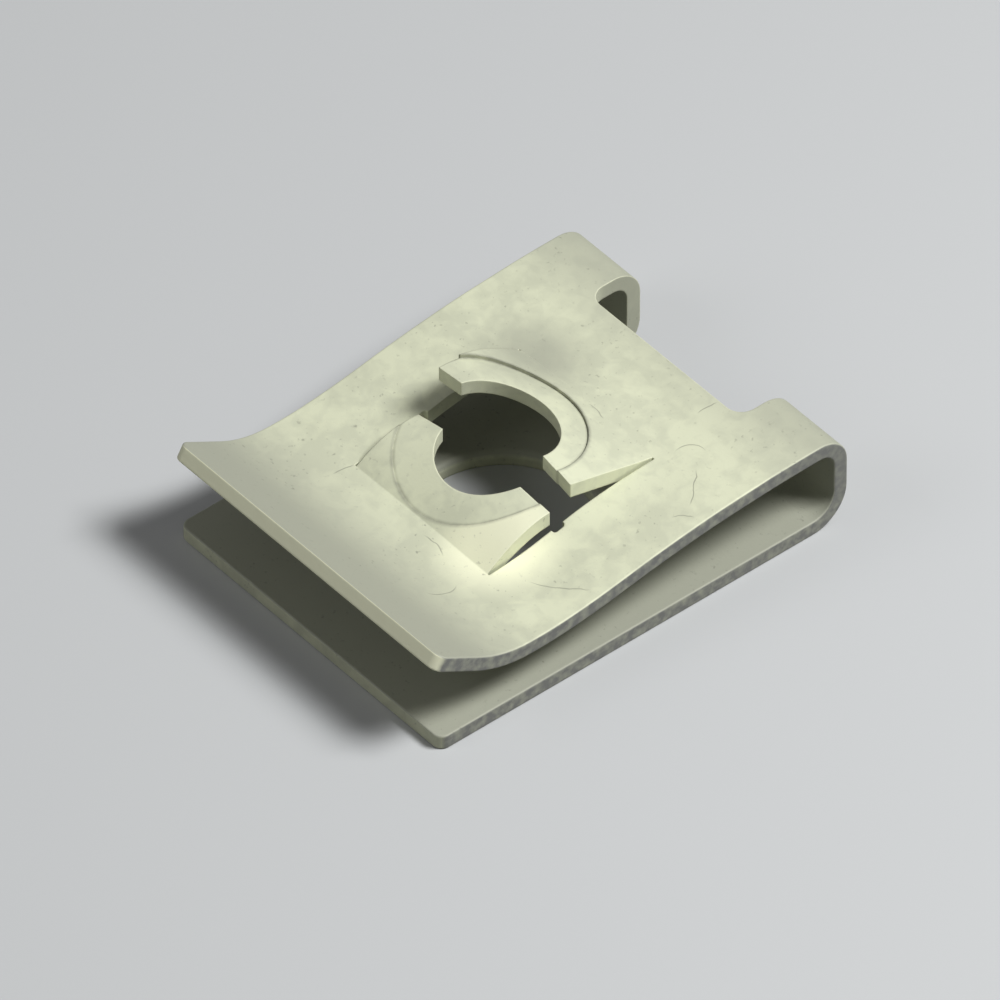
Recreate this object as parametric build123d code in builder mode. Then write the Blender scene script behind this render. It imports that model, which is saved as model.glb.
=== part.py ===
"""U clip speed nut: one piece of folded spring steel with a formed thread.

The clip slides over the edge of a panel.  Its plain lower leg has a clearance
hole.  Its upper leg is domed and slit into two arched prongs, whose coined
lands make one turn of a right-hand thread for a 6.3 mm sheet-metal screw.

Axes: X across the clip, Y from the mouth to the bend, Z up, the way the screw
goes.  The origin is on the screw axis, on the outer face of the lower leg.
"""
import os
from math import cos, hypot, pi, radians, sin

from build123d import *

# ---------------------------------------------------------------- sheet, mm
thickness = 0.68            # spring steel strip
width = 16.0                # across the legs
corner_radius = 0.45        # at the free ends of both legs
edge_break = 0.07           # tumbled edges, all round the outline of the legs

# ---------------------------------------------------------------- side profile
lower_leg_length = 9.95     # screw axis to the free end of the plain leg
bend_reach = 10.9           # screw axis to the outside of the bend
bend_height = 4.5           # over both legs at the bend
lower_bend_radius = 1.75    # outer radius, plain leg to end wall
upper_bend_radius = 1.4     # outer radius, end wall to thread leg
leg_slope = 10.5            # steepest fall of the thread leg, degrees
crown_radius = 57.0         # outer face of the thread leg, behind the prongs
saddle_radius = 24.0        # outer face, where the leg nears the plain one
lip_radius = 5.0            # outer face, where the lip turns up
lip_angle = 30.3            # above the throat, degrees
lip_length = 2.45           # straight part of the lip

# ---------------------------------------------------------------- relief slot
relief_width = 9.2          # between the two straps of the bend
relief_start = 8.2          # screw axis to the straight end of the slot
relief_radius = 0.75

# ---------------------------------------------------------------- dome
dome_rise = 0.7             # thread leg pushed up round the prongs
dome_radius = 6.1
dome_centre = 0.9           # from the screw axis towards the bend
dome_columns = (-1.0, -0.75, -0.5, -0.25, 0.0, 0.25, 0.5, 0.75, 1.0)
dome_rows = 10

# ---------------------------------------------------------------- screw holes
clearance_diameter = 7.6    # in the plain leg
clearance_rim = 0.3         # rounded upper rim of the pierced hole
thread_diameter = 5.0       # root hole between the prongs
thread_centre = (-0.15, -0.2)   # pierced a little off the middle

# ---------------------------------------------------------------- prongs
prong_width = 8.0           # between the two slits
slit_width = 0.1
front_root = 4.2            # screw axis to the root of the prong near the mouth
rear_root = 4.25            # screw axis to the root of the prong near the bend
front_tip = 1.02            # screw axis to the tips of the front prong
rear_tip = 0.03             # beyond the screw axis to the tips of the rear prong
notch_width = 0.58          # cross slot between the tips, as pierced in the flat
notch_depth = 0.3           # the cross slot runs this far into both rails
notch_radius = 0.15
front_rise = (0.44, 0.89)   # tips over the leg, at the left and the right slit
rear_rise = (2.25, 1.51)
front_bow = (0.42, 0.25, 0.38)      # arch over a straight ramp: left, middle, right
rear_bow = (0.33, -0.16, -0.10)
prong_rows = (0.25, 0.5, 0.75, 1.0)

# ---------------------------------------------------------------- coined lands
land_centre = (-0.48, -0.09)    # the coining punches sit further off
front_land = 8.0            # diameters
rear_land = 7.4
front_coin = (0.05, 0.07)   # depth of the land, at its left and its right
rear_coin = (0.20, 0.06)

# ---------------------------------------------------------------- derived
half_width = width / 2
half_prong = prong_width / 2
window_floor = bend_height / 3
tool_height = 3 * bend_height
dome_start = dome_centre - dome_radius
dome_end = dome_centre + dome_radius


def leg_height(y, depth=0.0):
    """Height of the thread leg at y: its outer face, or a face that deep under it."""
    fall = radians(leg_slope)
    crown_y = bend_reach - upper_bend_radius
    crown_z = bend_height - crown_radius
    if y > crown_y - crown_radius * sin(fall):
        return crown_z + ((crown_radius - depth) ** 2 - (y - crown_y) ** 2) ** 0.5
    saddle_y = crown_y - (crown_radius + saddle_radius) * sin(fall)
    saddle_z = crown_z + (crown_radius + saddle_radius) * cos(fall)
    return saddle_z - ((saddle_radius + depth) ** 2 - (y - saddle_y) ** 2) ** 0.5


def dome_height(x, y):
    """Rise of the dome round the prongs; none at its rim and the leg's sides."""
    reach = min(hypot(x, y - dome_centre) / dome_radius, 1.0)
    return dome_rise * cos(reach * pi / 2) ** 2


def leg_section(x):
    """Upright slice along the domed part of the thread leg."""
    step = (dome_end - dome_start) / (dome_rows - 1)
    rows = [dome_start + step * row for row in range(dome_rows)]
    outer = [(y, leg_height(y) + dome_height(x, y)) for y in rows]
    inner = [(y, leg_height(y, thickness) + dome_height(x, y)) for y in rows]
    with BuildSketch(Plane.YZ.offset(x)) as section:
        with BuildLine():
            Spline(*outer)
            Line(outer[-1], inner[-1])
            Spline(*inner)
            Line(inner[0], outer[0])
        make_face()
    return section.sketch


def across(values, side):
    """Value at side -1, 0 or 1 of a prong, or between them, from two or three."""
    left, right = values[0], values[-1]
    middle = values[1] if len(values) == 3 else (left + right) / 2
    return middle + side * (right - left) / 2 + side**2 * ((left + right) / 2 - middle)


def prong_section(y, run, rise, bow, coin):
    """Upright slice across a prong, at a share of the run from root to tips."""
    outer = []
    for side in (-1.0, -0.5, 0.0, 0.5, 1.0):
        x = side * half_prong
        lift = across(rise, side) * run + across(bow, side) * 4 * run * (1 - run)
        outer.append((x, leg_height(y) + dome_height(x, y) + lift - across(coin, side)))
    inner = [(x, z - thickness) for x, z in outer]
    with BuildSketch(Plane.XZ.offset(-y)) as section:
        with BuildLine():
            Spline(*outer)
            Line(outer[-1], inner[-1])
            Spline(*inner)
            Line(inner[0], outer[0])
        make_face()
    return section.sketch


def root_face(y):
    """Slice across the domed leg where a prong grows out of it."""
    with BuildPart() as root:
        add(dome)
        with Locations((0, y)):
            slice_align = (Align.CENTER, Align.MIN, Align.CENTER)
            Box(prong_width, dome_end, 2 * tool_height, align=slice_align, mode=Mode.INTERSECT)
    return root.faces().sort_by(Axis.Y)[0]


def prong_sheet(root, root_y, tip_y, rise, bow, coin=(0.0, 0.0)):
    """Arched sheet from the root of a prong to its tips, or its coined copy."""
    with BuildPart() as sheet:
        add(root)
        for run in prong_rows:
            y = root_y + run * (tip_y - root_y)
            add(prong_section(y, run, rise, bow, coin))
        loft()
    return sheet.part


def prong(root_y, tip_y, rise, bow, land, coin):
    """Prong whose land round the thread hole is coined under the arched sheet."""
    with BuildPart() as formed:
        add(prong_sheet(root_face(root_y), root_y, tip_y, rise, bow))
        with Locations(land_centre):
            Cylinder(land / 2, 2 * tool_height, mode=Mode.SUBTRACT)
    with BuildPart() as coined:
        root = prong_section(root_y, 0.0, rise, bow, coin)
        add(prong_sheet(root, root_y, tip_y, rise, bow, coin))
        with Locations(land_centre):
            Cylinder(land / 2, 2 * tool_height, mode=Mode.INTERSECT)
        with Locations(thread_centre):
            Cylinder(thread_diameter / 2, 2 * tool_height, mode=Mode.SUBTRACT)
        add(formed.part)
    return coined.part


# ---------------------------------------------------------------- folded strip
with BuildPart() as strip:
    with BuildSketch(Plane.YZ):
        with BuildLine():
            lower_leg = Line((-lower_leg_length, 0), (bend_reach - lower_bend_radius, 0))
            lower_bend = JernArc(lower_leg @ 1, lower_leg % 1, lower_bend_radius, 90)
            end_wall = Line(lower_bend @ 1, (bend_reach, bend_height - upper_bend_radius))
            upper_bend = JernArc(end_wall @ 1, end_wall % 1, upper_bend_radius, 90)
            crown = JernArc(upper_bend @ 1, upper_bend % 1, crown_radius, leg_slope)
            saddle = JernArc(crown @ 1, crown % 1, saddle_radius, -leg_slope)
            lip_bend = JernArc(saddle @ 1, saddle % 1, lip_radius, -lip_angle)
            Line(lip_bend @ 1, lip_bend @ 1 + lip_length * (lip_bend % 1))
            offset(amount=thickness, side=Side.LEFT)
        make_face()
    extrude(amount=half_width, both=True)

    # rounded corners at the free ends of both legs
    free_ends = strip.faces().filter_by(lambda face: face.center().Y < -lower_leg_length + thickness)
    fillet(free_ends.edges().group_by(SortBy.LENGTH)[0], corner_radius)

    # relief slot that leaves the bend as two straps
    with BuildSketch(Plane.XY) as relief:
        with Locations((0, relief_start)):
            Rectangle(relief_width, bend_reach, align=(Align.CENTER, Align.MIN))
        fillet(relief.vertices().group_by(Axis.Y)[0], relief_radius)
    extrude(amount=tool_height, mode=Mode.SUBTRACT)

    # clearance hole in the plain leg, with the rounded rim that piercing leaves
    with BuildSketch(Plane.XY):
        Circle(clearance_diameter / 2)
    extrude(amount=window_floor, mode=Mode.SUBTRACT)
    round_edges = strip.edges().filter_by(GeomType.CIRCLE).filter_by(Plane.XY)
    rim = round_edges.filter_by(lambda edge: edge.radius == clearance_diameter / 2)
    fillet(rim.sort_by(Axis.Z)[-1], clearance_rim)

    # the domed stretch is formed apart, so the flat one makes room for it
    with BuildSketch(Plane.XY.offset(window_floor)):
        with Locations((0, dome_centre)):
            Rectangle(2 * width, 2 * dome_radius)
    extrude(amount=tool_height, mode=Mode.SUBTRACT)

# ---------------------------------------------------------------- domed thread leg
with BuildPart() as dome:
    for column in dome_columns:
        add(leg_section(column * half_width))
    loft()

with BuildPart() as domed_leg:
    add(dome)

    # window that the two prongs rise out of, with the notches of the cross slot
    with BuildSketch(Plane.XY.offset(window_floor)) as window:
        with Locations((0, (rear_root - front_root) / 2)):
            Rectangle(prong_width + 2 * slit_width, front_root + rear_root)
        with Locations((0, -front_tip + notch_width / 2)):
            Rectangle(prong_width + 2 * notch_depth, notch_width)
        notches = window.vertices().group_by(Axis.X)
        fillet(notches[0] + notches[-1], notch_radius)
    extrude(amount=tool_height, mode=Mode.SUBTRACT)

# ---------------------------------------------------------------- finished clip
with BuildPart() as speed_nut:
    add(strip)
    add(domed_leg)
    add(prong(-front_root, -front_tip, front_rise, front_bow, front_land, front_coin))
    add(prong(rear_root, rear_tip, rear_rise, rear_bow, rear_land, rear_coin))
    side_faces = speed_nut.faces().filter_by(Axis.X).group_by(Axis.X)
    fillet((side_faces[0] + side_faces[-1]).edges(), edge_break)

os.makedirs("parts", exist_ok=True)
speed_nut.part.label = "speed_nut"
export_step(speed_nut.part, "parts/speed_nut.step")
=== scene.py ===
"""Looks of a folded spring-steel speed nut: plated finish, studio and camera."""
from math import cos, radians, sin
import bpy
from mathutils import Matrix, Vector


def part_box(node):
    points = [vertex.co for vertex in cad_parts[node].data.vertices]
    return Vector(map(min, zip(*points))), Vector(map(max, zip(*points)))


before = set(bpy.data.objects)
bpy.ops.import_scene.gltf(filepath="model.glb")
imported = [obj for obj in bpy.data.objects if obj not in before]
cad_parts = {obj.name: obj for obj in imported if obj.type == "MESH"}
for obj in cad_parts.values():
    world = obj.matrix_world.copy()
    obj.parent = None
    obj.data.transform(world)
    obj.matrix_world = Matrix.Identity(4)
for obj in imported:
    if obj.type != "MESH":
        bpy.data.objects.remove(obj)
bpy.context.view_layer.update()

from types import SimpleNamespace

import bpy
from mathutils import Vector

bl_info = {
    "name": "Speed Nut Finish",
    "version": (1, 0, 0),
    "blender": (4, 5, 0),
    "location": "View3D > Sidebar > Speed Nut",
    "description": "Plated sheet finish, edge wear and studio for a folded speed nut",
    "category": "Object",
}

NUT = "speed_nut"
NUT_LOW, NUT_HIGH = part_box(NUT)
MM = 0.001

# ------------------------------------------------------------ places on the nut, mm
LEG_SPLIT = 1.0                 # the lower leg lies under this height, all else over it
HALF_PRONG = 4.0                # from the middle of the nut to the slits
LAND_CENTRE = (-0.48, -0.09)    # of the coined lands round the thread hole
FRONT_LAND, REAR_LAND = 8.0, 7.4
LAND_SPLIT = -1.0               # the front land lies before this, the rear one behind it
PROUD_SPOT = (3.2, -3.0)        # right side of the front prong, near its root
REAR_ARCH = (-3.3, 4.2)         # top of the arch behind the rear prong
END_WALL_DEPTH = 3.0            # the end wall lies this near the outside of the bend
LIP_END_DEPTH = 1.0             # the end face of the lip lies this near its edge
CUT_SIDE_DEPTH = 0.1            # the cut sides of the strip lie this near its flanks

# Where each painted highlight and shade is at its full strength, and where it has faded out, mm.
PRONG_HIGHLIGHT_FADE = (1.0, 3.2)        # from the proud spot
ARCH_FADE = (0.4, 3.4)          # from the rear arch
STRAP_FADE = (0.5, 5.0)         # from the outside of the bend
LIP_FADE = (1.5, 6.3)           # from the edge of the lip
LAND_LINE = 0.16                # painted shade fades out this far from the edge of a land
LAND_GUARD = 0.25               # no edge is rubbed bright or given its painted glint nearer to a land than this

# Parts of a unit normal between which a face comes to count as looking one way.
FACE_FADE = (0.2, 0.6)

# Handling scratches on the thread leg, mm: both ends, and how far the middle bows out.
SCRATCHES = (
    ((4.3, 5.1), (5.2, 6.0), 0.34),
    ((5.6, 5.1), (7.0, 3.6), 0.06),
    ((6.9, 2.7), (7.6, 3.4), 0.05),
    ((3.3, 7.1), (3.4, 8.1), 0.05),
    ((0.3, 4.0), (1.3, 4.0), 0.08),
    ((5.4, -3.3), (7.5, -1.8), -0.09),
    ((3.4, -6.9), (3.7, -5.5), -0.30),
    ((-4.1, -4.2), (-4.3, -5.2), -0.04),
    ((0.7, -4.7), (2.1, -4.9), 0.20),
)
SCRATCH_TAPER = (0.30, 0.52)    # shares of its length from its middle where one fades
SCRATCH_WANDER = 0.3            # how far the grain leads a scratch off its arc, in all
SCRATCHED_FROM = 0.4            # share of the nut's height over which scratches lie

# ------------------------------------------------------------ stage, metres
FLOOR_SIZE = 2.0
FLOOR_GAP = 0.01 * MM           # keeps the floor just under the nut
AIM = Vector((-0.72, 0.41, 0.91)) * MM


# ------------------------------------------------------------ colours and nodes
def linear(hex_colour):
    """Linear RGBA of an sRGB hex string such as 'c9cdb4'."""
    channels = [int(hex_colour[i:i + 2], 16) / 255 for i in (0, 2, 4)]
    return [c / 12.92 if c <= 0.04045 else ((c + 0.055) / 1.055) ** 2.4 for c in channels] + [1.0]


def node(tree, kind, settings=None, inputs=None):
    """Adds one node, sets its properties, and sets or links its inputs."""
    made = tree.nodes.new(kind)
    for name, value in (settings or {}).items():
        setattr(made, name, value)
    for socket, value in (inputs or {}).items():
        if isinstance(value, bpy.types.Node):
            value = value.outputs[0]
        if isinstance(value, bpy.types.NodeSocket):
            tree.links.new(value, made.inputs[socket])
        else:
            made.inputs[socket].default_value = value
    return made


# ------------------------------------------------------------ settings
class SpeedNutFinish(bpy.types.PropertyGroup):
    """Colours and wear of the plated strip, and its painted shade and light."""
    coat: bpy.props.StringProperty(
        name="Coat", description="Dull zinc plating, sRGB hex", default="dcdfc3")
    coat_shade: bpy.props.StringProperty(
        name="Coat shade", description="Thinner plating between the pale patches, sRGB hex",
        default="ced1b8")
    # The grey below is painted shade: in the fold between the legs, on the lip, on the rear arch and on
    # the straps of the bend.
    coat_painted_shade: bpy.props.StringProperty(
        name="Coat in the fold", description="Thin plating between the legs, sRGB hex",
        default="a9ab9b")
    # The grey below is partly bare cut steel and partly a painted reflection of a dark surround.
    sheared_and_dark_reflection: bpy.props.StringProperty(
        name="Sheared edge", description="Cut sides of the strip, sRGB hex", default="858682")
    # The colour below is dirt in pits and scratches, and also painted shade along the edges of the
    # coined lands.
    grime_and_painted_shade: bpy.props.StringProperty(
        name="Grime", description="Dirt in scratches, pits and worn spots, sRGB hex",
        default="6a6a60")
    # The pale colour below is edge wear, and also painted light: a glint on the edges, a highlight on
    # the front prong and light on the lip's end face.
    burnish_and_painted_light: bpy.props.StringProperty(
        name="Burnished edge", description="Edges polished by the tumbling, sRGB hex",
        default="f7f8d9")
    edge_round: bpy.props.FloatProperty(
        name="Edge round", description="Radius of the tumbled edges", default=0.08 * MM,
        unit="LENGTH", precision=6)
    scratch_width: bpy.props.FloatProperty(
        name="Scratch width", description="Half width of a handling scratch", default=0.04 * MM,
        unit="LENGTH", precision=6)


class SpeedNutStudio(bpy.types.PropertyGroup):
    """Camera, floor and lamps."""
    azimuth: bpy.props.FloatProperty(
        name="Azimuth", description="Camera bearing, 0 looks along +Y", default=radians(49.98),
        subtype="ANGLE")
    elevation: bpy.props.FloatProperty(
        name="Elevation", description="Camera height angle", default=radians(43.45), subtype="ANGLE")
    distance: bpy.props.FloatProperty(
        name="Distance", description="Camera to the aim point", default=0.9794, unit="LENGTH")
    lens: bpy.props.FloatProperty(
        name="Lens", description="Focal length in millimetres", default=897.2)
    floor_colour: bpy.props.StringProperty(
        name="Floor", description="Plain floor, sRGB hex", default="c2c4c5")
    floor_bounce: bpy.props.StringProperty(
        name="Floor bounce", description="Floor as matte surfaces see it, sRGB hex", default="505150")
    key_power: bpy.props.FloatProperty(
        name="Key lamp", description="Power of the high lamp on the right, watts", default=1.0)
    fill_power: bpy.props.FloatProperty(
        name="Fill lamp", description="Power of the weak lamp before the mouth, watts", default=0.22)
    surround: bpy.props.FloatProperty(
        name="Surround", description="Strength of the white surround", default=0.11)


# ------------------------------------------------------------ masks of the finish, and of the painted shade and light
def bearings(tree):
    """Where a point lies on the nut, in metres, and which way its face looks."""
    coordinates = node(tree, "ShaderNodeTexCoord")
    place = coordinates.outputs["Object"]
    spot = node(tree, "ShaderNodeSeparateXYZ", inputs={0: place})
    facing = node(tree, "ShaderNodeSeparateXYZ", inputs={0: coordinates.outputs["Normal"]})
    level = node(tree, "ShaderNodeVectorMath", {"operation": "MULTIPLY"}, {0: place, 1: (1, 1, 0)})
    low = node(tree, "ShaderNodeMath", {"operation": "LESS_THAN"}, {
        0: spot.outputs["Z"], 1: LEG_SPLIT * MM})
    high = node(tree, "ShaderNodeMath", {"operation": "SUBTRACT"}, {0: 1.0, 1: low})
    looks_up = node(tree, "ShaderNodeMapRange", inputs={
        "Value": facing.outputs["Z"], "From Min": FACE_FADE[0], "From Max": FACE_FADE[1]})
    looks_out = node(tree, "ShaderNodeMapRange", inputs={
        "Value": facing.outputs["Y"], "From Min": -FACE_FADE[0], "From Max": -FACE_FADE[1]})
    return SimpleNamespace(
        place=place, level=level, spot=spot.outputs, facing=facing.outputs,
        low=low, high=high, looks_up=looks_up, looks_out=looks_out)


def painted_fold_and_lip_shade(tree, at):
    """Mask of painted shade inside the fold between the legs and on the lip."""
    looks_down = node(tree, "ShaderNodeMapRange", inputs={
        "Value": at.facing["Z"], "From Min": -FACE_FADE[0], "From Max": -FACE_FADE[1]})
    behind = node(tree, "ShaderNodeMath", {"operation": "GREATER_THAN"}, {
        0: at.spot["Y"], 1: NUT_HIGH.y - END_WALL_DEPTH * MM})
    # painted shade on the lower leg's top, the upper leg's underside and the end wall, between the legs
    lower_leg = node(tree, "ShaderNodeMath", {"operation": "MULTIPLY"}, {0: at.looks_up, 1: at.low})
    upper_leg = node(tree, "ShaderNodeMath", {"operation": "MULTIPLY"}, {0: looks_down, 1: at.high})
    end_wall = node(tree, "ShaderNodeMath", {"operation": "MULTIPLY"}, {0: at.looks_out, 1: behind})
    # painted shade on the lip, strongest near its edge
    lip = node(tree, "ShaderNodeMapRange", {"interpolation_type": "SMOOTHSTEP"}, {
        "Value": at.spot["Y"], "From Min": NUT_LOW.y + LIP_FADE[1] * MM,
        "From Max": NUT_LOW.y + LIP_FADE[0] * MM})
    lip = node(tree, "ShaderNodeMath", {"operation": "MULTIPLY"}, {0: lip, 1: at.high})
    lip = node(tree, "ShaderNodeMath", {"operation": "MULTIPLY"}, {0: lip, 1: at.looks_up})
    fold_lip_shade = lower_leg
    for part in (upper_leg, end_wall, lip):
        fold_lip_shade = node(tree, "ShaderNodeMath", {"operation": "MAXIMUM"}, {0: fold_lip_shade, 1: part})
    return fold_lip_shade


def painted_rear_shade(tree, at):
    """Mask of painted shade on the rear arch and on the straps of the bend."""
    from_arch = node(tree, "ShaderNodeVectorMath", {"operation": "DISTANCE"}, {
        0: at.level, 1: (REAR_ARCH[0] * MM, REAR_ARCH[1] * MM, 0)})
    arch = node(tree, "ShaderNodeMapRange", {"interpolation_type": "SMOOTHSTEP"}, {
        "Value": from_arch.outputs["Value"], "From Min": ARCH_FADE[0] * MM,
        "From Max": ARCH_FADE[1] * MM, "To Min": 0.7, "To Max": 0.0})
    straps = node(tree, "ShaderNodeMapRange", {"interpolation_type": "SMOOTHSTEP"}, {
        "Value": at.spot["Y"], "From Min": NUT_HIGH.y - STRAP_FADE[1] * MM,
        "From Max": NUT_HIGH.y - STRAP_FADE[0] * MM, "To Min": 0.0, "To Max": 0.7})
    arch_and_strap_shade = node(tree, "ShaderNodeMath", {"operation": "MAXIMUM"}, {0: arch, 1: straps})
    return node(tree, "ShaderNodeMath", {"operation": "MULTIPLY"}, {0: arch_and_strap_shade, 1: at.high})


def beyond_land(tree, at):
    """Distance outwards from the edge of the coined lands."""
    from_screw = node(tree, "ShaderNodeVectorMath", {"operation": "DISTANCE"}, {
        0: at.level, 1: (LAND_CENTRE[0] * MM, LAND_CENTRE[1] * MM, 0)})
    in_front = node(tree, "ShaderNodeMath", {"operation": "LESS_THAN"}, {
        0: at.spot["Y"], 1: LAND_SPLIT * MM})
    land_edge = node(tree, "ShaderNodeMath", {"operation": "MULTIPLY_ADD"}, {
        0: in_front, 1: (FRONT_LAND - REAR_LAND) / 2 * MM, 2: REAR_LAND / 2 * MM})
    return node(tree, "ShaderNodeMath", {"operation": "SUBTRACT"}, {
        0: from_screw.outputs["Value"], 1: land_edge})


def painted_prong_highlight(tree, at, off_land):
    """Mask of a painted highlight on the front prong, where it stands out of the leg."""
    from_spot = node(tree, "ShaderNodeVectorMath", {"operation": "DISTANCE"}, {
        0: at.level, 1: (PROUD_SPOT[0] * MM, PROUD_SPOT[1] * MM, 0)})
    highlight = node(tree, "ShaderNodeMapRange", {"interpolation_type": "SMOOTHSTEP"}, {
        "Value": from_spot.outputs["Value"], "From Min": PRONG_HIGHLIGHT_FADE[0] * MM,
        "From Max": PRONG_HIGHLIGHT_FADE[1] * MM, "To Min": 1.0, "To Max": 0.0})
    outside = node(tree, "ShaderNodeMath", {"operation": "GREATER_THAN"}, {0: off_land, 1: 0.0})
    highlight = node(tree, "ShaderNodeMath", {"operation": "MULTIPLY"}, {0: highlight, 1: outside})
    return node(tree, "ShaderNodeMath", {"operation": "MULTIPLY"}, {0: highlight, 1: at.looks_up})


def painted_land_shade(tree, at, near_land, patches):
    """Mask of painted shade in the crease along the edge of the coined lands."""
    shade_at_land = node(tree, "ShaderNodeMapRange", {"interpolation_type": "SMOOTHSTEP"}, {
        "Value": near_land, "From Min": 0.0, "From Max": LAND_LINE * MM, "To Min": 1.5, "To Max": 0.0})
    between_slits = node(tree, "ShaderNodeMath", {"operation": "ABSOLUTE"}, {0: at.spot["X"]})
    between_slits = node(tree, "ShaderNodeMath", {"operation": "LESS_THAN"}, {
        0: between_slits, 1: HALF_PRONG * MM})
    for limit in (between_slits, at.high, patches):
        shade_at_land = node(tree, "ShaderNodeMath", {"operation": "MULTIPLY"}, {0: shade_at_land, 1: limit})
    return shade_at_land


def pits(tree, at, broad):
    """Mask of pits and specks of dirt, 0.2 mm across and only here and there."""
    specks = node(tree, "ShaderNodeTexNoise", inputs={
        "Vector": at.place, "Scale": 1 / (0.2 * MM), "Detail": 2.0})
    specks = node(tree, "ShaderNodeMapRange", inputs={
        "Value": specks, "From Min": 0.65, "From Max": 0.78})
    dirty = node(tree, "ShaderNodeMapRange", inputs={
        "Value": broad, "From Min": 0.44, "From Max": 0.60, "To Min": 0.3, "To Max": 0.9})
    return node(tree, "ShaderNodeMath", {"operation": "MULTIPLY"}, {0: specks, 1: dirty})


def scratch(tree, flat, start, end, bow, half_width):
    """Mask of one scratch: an arc through both ends, faded out beyond them."""
    start, end = Vector(start) * MM, Vector(end) * MM
    middle, chord = (start + end) / 2, end - start
    radius = (chord.length ** 2 / 4 + (bow * MM) ** 2) / (2 * abs(bow) * MM)
    across = Vector((-chord.y, chord.x)).normalized() * (1 if bow > 0 else -1)
    centre = middle + across * (abs(bow) * MM - radius)
    from_centre = node(tree, "ShaderNodeVectorMath", {"operation": "DISTANCE"}, {
        0: flat, 1: centre.to_3d()})
    off_line = node(tree, "ShaderNodeMath", {"operation": "SUBTRACT"}, {
        0: from_centre.outputs["Value"], 1: radius})
    off_line = node(tree, "ShaderNodeMath", {"operation": "ABSOLUTE"}, {0: off_line})
    line = node(tree, "ShaderNodeMapRange", {"interpolation_type": "SMOOTHSTEP"}, {
        "Value": off_line, "From Min": 0.0, "From Max": half_width, "To Min": 1.0, "To Max": 0.0})
    from_middle = node(tree, "ShaderNodeVectorMath", {"operation": "DISTANCE"}, {
        0: flat, 1: middle.to_3d()})
    reach = node(tree, "ShaderNodeMapRange", {"interpolation_type": "SMOOTHSTEP"}, {
        "Value": from_middle.outputs["Value"], "From Min": chord.length * SCRATCH_TAPER[0],
        "From Max": chord.length * SCRATCH_TAPER[1], "To Min": 1.0, "To Max": 0.0})
    return node(tree, "ShaderNodeMath", {"operation": "MULTIPLY"}, {0: line, 1: reach})


def with_scratches(tree, at, marks_and_land_shade, half_width):
    """Marks with the handling scratches added, which wander a little, on the thread leg alone."""
    wander = node(tree, "ShaderNodeTexNoise", inputs={
        "Vector": at.place, "Scale": 1 / (0.9 * MM), "Detail": 2.0})
    wander = node(tree, "ShaderNodeVectorMath", {"operation": "SCALE"}, {
        0: wander.outputs["Color"], "Scale": SCRATCH_WANDER * MM})
    wander = node(tree, "ShaderNodeVectorMath", {"operation": "SUBTRACT"}, {
        0: wander, 1: (SCRATCH_WANDER / 2 * MM, SCRATCH_WANDER / 2 * MM, 0.0)})
    flat = node(tree, "ShaderNodeVectorMath", {"operation": "ADD"}, {0: at.place, 1: wander})
    flat = node(tree, "ShaderNodeVectorMath", {"operation": "MULTIPLY"}, {0: flat, 1: (1, 1, 0)})
    on_top = node(tree, "ShaderNodeMath", {"operation": "GREATER_THAN"}, {
        0: at.spot["Z"], 1: NUT_HIGH.z * SCRATCHED_FROM})
    for start, end, bow in SCRATCHES:
        line = scratch(tree, flat.outputs[0], start, end, bow, half_width)
        line = node(tree, "ShaderNodeMath", {"operation": "MULTIPLY"}, {0: line, 1: on_top})
        marks_and_land_shade = node(tree, "ShaderNodeMath", {"operation": "MAXIMUM"}, {0: marks_and_land_shade, 1: line})
    return marks_and_land_shade


def cut_sides(tree, at, tears):
    """Mask of the cut sides of the strip, where the plating is rubbed away in spots, and where a dark
    reflection is painted.
    """
    sideways = node(tree, "ShaderNodeMath", {"operation": "ABSOLUTE"}, {0: at.facing["X"]})
    sideways = node(tree, "ShaderNodeMapRange", inputs={
        "Value": sideways, "From Min": 0.75, "From Max": 0.95})
    out_far = node(tree, "ShaderNodeMath", {"operation": "ABSOLUTE"}, {0: at.spot["X"]})
    out_far = node(tree, "ShaderNodeMath", {"operation": "GREATER_THAN"}, {
        0: out_far, 1: NUT_HIGH.x - CUT_SIDE_DEPTH * MM})
    cut = node(tree, "ShaderNodeMath", {"operation": "MULTIPLY"}, {0: sideways, 1: out_far})
    return node(tree, "ShaderNodeMath", {"operation": "MULTIPLY"}, {0: cut, 1: tears})


def edge_wear_and_painted_light(tree, at, rounded, near_land, tears):
    """Mask of the edges, rubbed bright with a painted glint where the rounded normal leaves the flat
    one, and of painted light on the lip's end face.
    """
    geometry = node(tree, "ShaderNodeNewGeometry")
    agree = node(tree, "ShaderNodeVectorMath", {"operation": "DOT_PRODUCT"}, {
        0: rounded, 1: geometry.outputs["Normal"]})
    # rubbed edges with a painted glint
    wear_and_glint = node(tree, "ShaderNodeMapRange", inputs={
        "Value": agree.outputs["Value"], "From Min": 0.80, "From Max": 0.97,
        "To Min": 0.8, "To Max": 0.0})
    clear_of_land = node(tree, "ShaderNodeMath", {"operation": "GREATER_THAN"}, {
        0: near_land, 1: LAND_GUARD * MM})
    for limit in (tears, clear_of_land):
        wear_and_glint = node(tree, "ShaderNodeMath", {"operation": "MULTIPLY"}, {0: wear_and_glint, 1: limit})
    # painted light on the lip's end face
    lit_lip_end = node(tree, "ShaderNodeMath", {"operation": "LESS_THAN"}, {
        0: at.spot["Y"], 1: NUT_LOW.y + LIP_END_DEPTH * MM})
    for limit in (at.looks_out, at.high):
        lit_lip_end = node(tree, "ShaderNodeMath", {"operation": "MULTIPLY"}, {0: lit_lip_end, 1: limit})
    return node(tree, "ShaderNodeMath", {"operation": "MAXIMUM"}, {0: wear_and_glint, 1: lit_lip_end})


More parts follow.
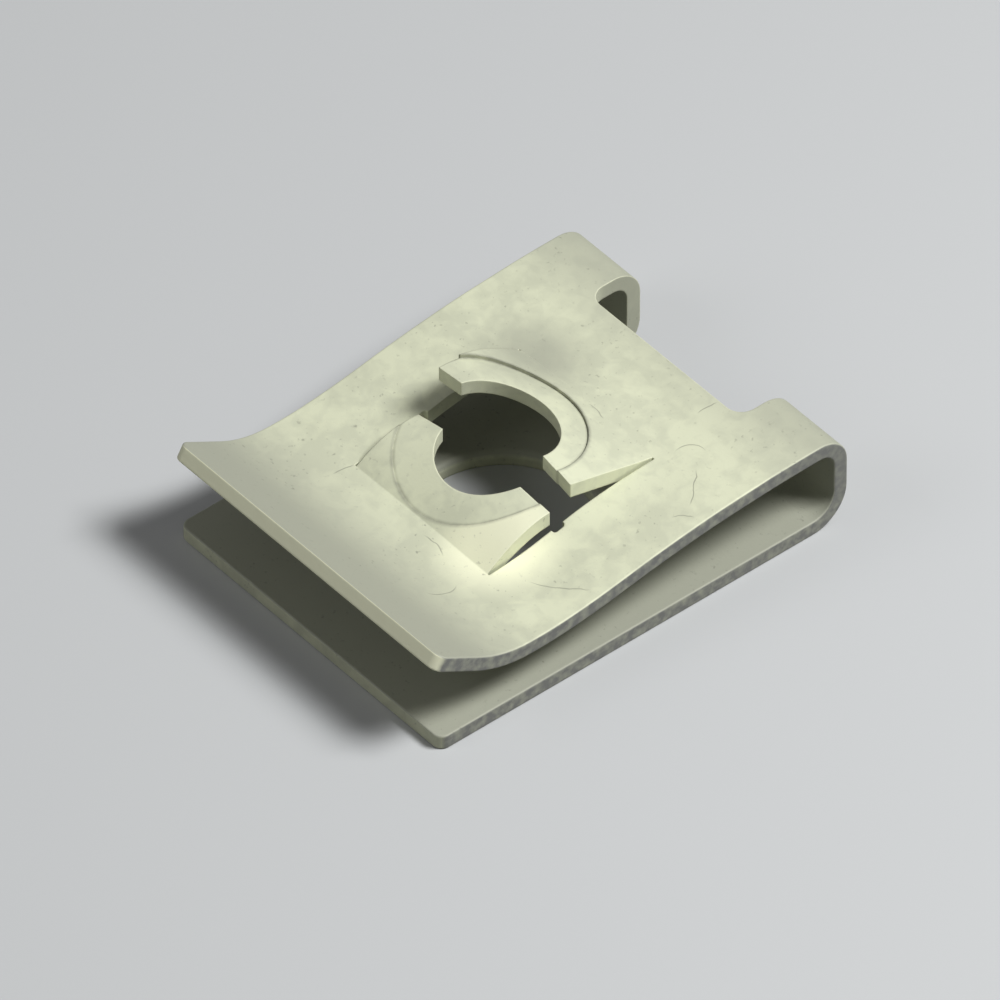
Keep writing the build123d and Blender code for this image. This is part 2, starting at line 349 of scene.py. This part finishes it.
# ------------------------------------------------------------ plated spring steel
def plated_spring_steel(finish):
    """Mechanically plated zinc on spring steel strip.

    The tumbling that plates it leaves a dull, pale, slightly patchy coat with
    small pits.  The cut sides of the strip are greyer, partly bare cut steel
    and partly a painted dark reflection; its edges are rubbed bright with a
    painted glint, and handling adds a few hairline scratches.  Shade is painted
    into the fold, on the lip, on the rear arch, on the straps of the bend and
    along the lands; light is painted on the front prong and the lip's end face.
    """
    material = bpy.data.materials.new("zinc_plated_spring_steel")
    material.use_nodes = True
    tree = material.node_tree
    shader = tree.nodes["Principled BSDF"]
    at = bearings(tree)

    # patches of thicker and thinner plating, 3.5 mm and 0.7 mm across
    broad = node(tree, "ShaderNodeTexNoise", inputs={
        "Vector": at.place, "Scale": 1 / (3.5 * MM), "Detail": 3.0, "Distortion": 0.6})
    patches = node(tree, "ShaderNodeTexNoise", inputs={
        "Vector": at.place, "Scale": 1 / (0.7 * MM), "Detail": 4.0, "Distortion": 0.4})
    thinner = node(tree, "ShaderNodeMath", {"operation": "ADD"}, {0: broad, 1: patches})
    thinner = node(tree, "ShaderNodeMapRange", inputs={
        "Value": thinner, "From Min": 0.86, "From Max": 1.16})

    # pits and scratches filled with thin dirt, and painted shade along the edges of the lands, all in
    # one dark colour
    off_land = beyond_land(tree, at)
    near_land = node(tree, "ShaderNodeMath", {"operation": "ABSOLUTE"}, {0: off_land})
    marks_and_land_shade = node(tree, "ShaderNodeMath", {"operation": "MAXIMUM"}, {
        0: pits(tree, at, broad), 1: painted_land_shade(tree, at, near_land, patches)})
    marks_and_land_shade = with_scratches(tree, at, marks_and_land_shade, finish.scratch_width)
    grime_and_shade = node(tree, "ShaderNodeMath", {"operation": "MULTIPLY"}, {0: marks_and_land_shade, 1: 0.55})

    # spots 0.4 mm across where the shearing and the tumbling wore the plating
    tears = node(tree, "ShaderNodeTexNoise", inputs={
        "Vector": at.place, "Scale": 1 / (0.4 * MM), "Detail": 3.0})
    tears = node(tree, "ShaderNodeMapRange", inputs={
        "Value": tears, "From Min": 0.3, "From Max": 0.6, "To Min": 0.6, "To Max": 1.0})
    rounded = node(tree, "ShaderNodeBevel", {"samples": 6}, {"Radius": finish.edge_round})

    # each colour is laid over the ones before it
    colour = node(tree, "ShaderNodeMix", {"data_type": "RGBA"}, {
        0: thinner, 6: linear(finish.coat), 7: linear(finish.coat_shade)})
    layers = (
        (painted_fold_and_lip_shade(tree, at), finish.coat_painted_shade),
        (painted_prong_highlight(tree, at, off_land), finish.burnish_and_painted_light),
        (painted_rear_shade(tree, at), finish.coat_painted_shade),
        (grime_and_shade, finish.grime_and_painted_shade),
        (cut_sides(tree, at, tears), finish.sheared_and_dark_reflection),
        (edge_wear_and_painted_light(tree, at, rounded, near_land, tears), finish.burnish_and_painted_light),
    )
    for mask, layer in layers:
        colour = node(tree, "ShaderNodeMix", {"data_type": "RGBA"}, {
            0: mask, 6: colour.outputs[2], 7: linear(layer)})

    # the matte grain of the tumbled coat, 0.12 mm, with the marks sunk into it
    grain = node(tree, "ShaderNodeTexNoise", inputs={
        "Vector": at.place, "Scale": 1 / (0.12 * MM), "Detail": 3.0})
    relief = node(tree, "ShaderNodeMath", {"operation": "MULTIPLY_ADD"}, {0: grain, 1: 0.6, 2: patches})
    relief = node(tree, "ShaderNodeMath", {"operation": "SUBTRACT"}, {0: relief, 1: marks_and_land_shade})
    bump = node(tree, "ShaderNodeBump", inputs={
        "Strength": 0.35, "Distance": 0.02 * MM, "Height": relief, "Normal": rounded})

    # thicker patches are a little rougher, and the dull coat shows little bare metal
    rough = node(tree, "ShaderNodeMath", {"operation": "MULTIPLY_ADD"}, {0: patches, 1: 0.14, 2: 0.60})
    tree.links.new(colour.outputs[2], shader.inputs["Base Color"])
    tree.links.new(rough.outputs[0], shader.inputs["Roughness"])
    tree.links.new(bump.outputs[0], shader.inputs["Normal"])
    shader.inputs["Metallic"].default_value = 0.16
    return material


class SPEEDNUT_OT_finish(bpy.types.Operator):
    """Gives the folded nut its plated finish"""
    bl_idname = "speednut.finish"
    bl_label = "Finish Speed Nut"
    bl_options = {"REGISTER", "UNDO"}

    def execute(self, context):
        material = plated_spring_steel(context.scene.speed_nut_finish)
        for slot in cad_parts[NUT].material_slots:
            slot.material = material
        return {"FINISHED"}


# ------------------------------------------------------------ stage
def matte_paper(studio):
    """Matte paper: plain and pale to the eye, and darker to the matte surfaces it lights."""
    material = bpy.data.materials.new("matte_paper")
    material.use_nodes = True
    tree = material.node_tree
    shader = tree.nodes["Principled BSDF"]
    rays = node(tree, "ShaderNodeLightPath")
    seen = node(tree, "ShaderNodeMath", {"operation": "MAXIMUM"}, {
        0: rays.outputs["Is Camera Ray"], 1: rays.outputs["Is Glossy Ray"]})
    seen = node(tree, "ShaderNodeMath", {"operation": "MAXIMUM"}, {
        0: seen, 1: rays.outputs["Is Transmission Ray"]})
    tone = node(tree, "ShaderNodeMix", {"data_type": "RGBA"}, {
        0: seen, 6: linear(studio.floor_bounce), 7: linear(studio.floor_colour)})
    tree.links.new(tone.outputs[2], shader.inputs["Base Color"])
    shader.inputs["Roughness"].default_value = 0.9
    return material


def soft_lamp(name, direction, distance, size, watts):
    """Square area lamp that faces the nut."""
    place = Vector(direction).normalized() * distance
    bpy.ops.object.light_add(type="AREA", location=place)
    lamp = bpy.context.object
    lamp.name = name
    lamp.rotation_euler = place.to_track_quat("Z", "Y").to_euler()
    lamp.data.size = size
    lamp.data.energy = watts


class SPEEDNUT_OT_stage(bpy.types.Operator):
    """Adds the floor, the lamps and the camera"""
    bl_idname = "speednut.stage"
    bl_label = "Add Stage"
    bl_options = {"REGISTER", "UNDO"}

    def execute(self, context):
        studio = context.scene.speed_nut_studio
        bpy.ops.object.select_all(action="DESELECT")
        bpy.ops.mesh.primitive_plane_add(size=FLOOR_SIZE, location=(0, 0, NUT_LOW.z - FLOOR_GAP))
        floor = context.object
        floor.name = "floor"
        bpy.ops.object.transform_apply(location=True, rotation=True, scale=True)
        floor.data.materials.append(matte_paper(studio))

        soft_lamp("key_lamp", direction=(0.44, 0.35, 0.83), distance=0.30, size=0.10,
                  watts=studio.key_power)
        soft_lamp("fill_lamp", direction=(-0.30, -0.75, 0.60), distance=0.40, size=0.20,
                  watts=studio.fill_power)
        world = bpy.data.worlds.new("studio")
        context.scene.world = world
        world.use_nodes = True
        background = world.node_tree.nodes["Background"]
        background.inputs["Color"].default_value = (1, 1, 1, 1)
        background.inputs["Strength"].default_value = studio.surround

        back = Vector((
            sin(studio.azimuth) * cos(studio.elevation),
            -cos(studio.azimuth) * cos(studio.elevation),
            sin(studio.elevation),
        ))
        bpy.ops.object.camera_add(location=AIM + back * studio.distance)
        camera = context.object
        camera.rotation_euler = back.to_track_quat("Z", "Y").to_euler()
        camera.data.lens = studio.lens
        context.scene.camera = camera
        context.scene.view_settings.view_transform = "Standard"
        return {"FINISHED"}


# ------------------------------------------------------------ panel and registration
class SPEEDNUT_PT_panel(bpy.types.Panel):
    """Lists the steps that finish the nut and set the stage"""
    bl_label = "Speed Nut"
    bl_idname = "SPEEDNUT_PT_panel"
    bl_space_type = "VIEW_3D"
    bl_region_type = "UI"
    bl_category = "Speed Nut"

    def draw(self, context):
        for settings in (context.scene.speed_nut_finish, context.scene.speed_nut_studio):
            for name in settings.__annotations__:
                self.layout.prop(settings, name)
        self.layout.operator("speednut.finish")
        self.layout.operator("speednut.stage")


CLASSES = (SpeedNutFinish, SpeedNutStudio, SPEEDNUT_OT_finish, SPEEDNUT_OT_stage, SPEEDNUT_PT_panel)


def register():
    for cls in CLASSES:
        bpy.utils.register_class(cls)
    bpy.types.Scene.speed_nut_finish = bpy.props.PointerProperty(type=SpeedNutFinish)
    bpy.types.Scene.speed_nut_studio = bpy.props.PointerProperty(type=SpeedNutStudio)


def unregister():
    del bpy.types.Scene.speed_nut_studio
    del bpy.types.Scene.speed_nut_finish
    for cls in reversed(CLASSES):
        bpy.utils.unregister_class(cls)


def main():
    register()
    bpy.ops.speednut.finish()
    bpy.ops.speednut.stage()


if __name__ == "__main__":
    main()
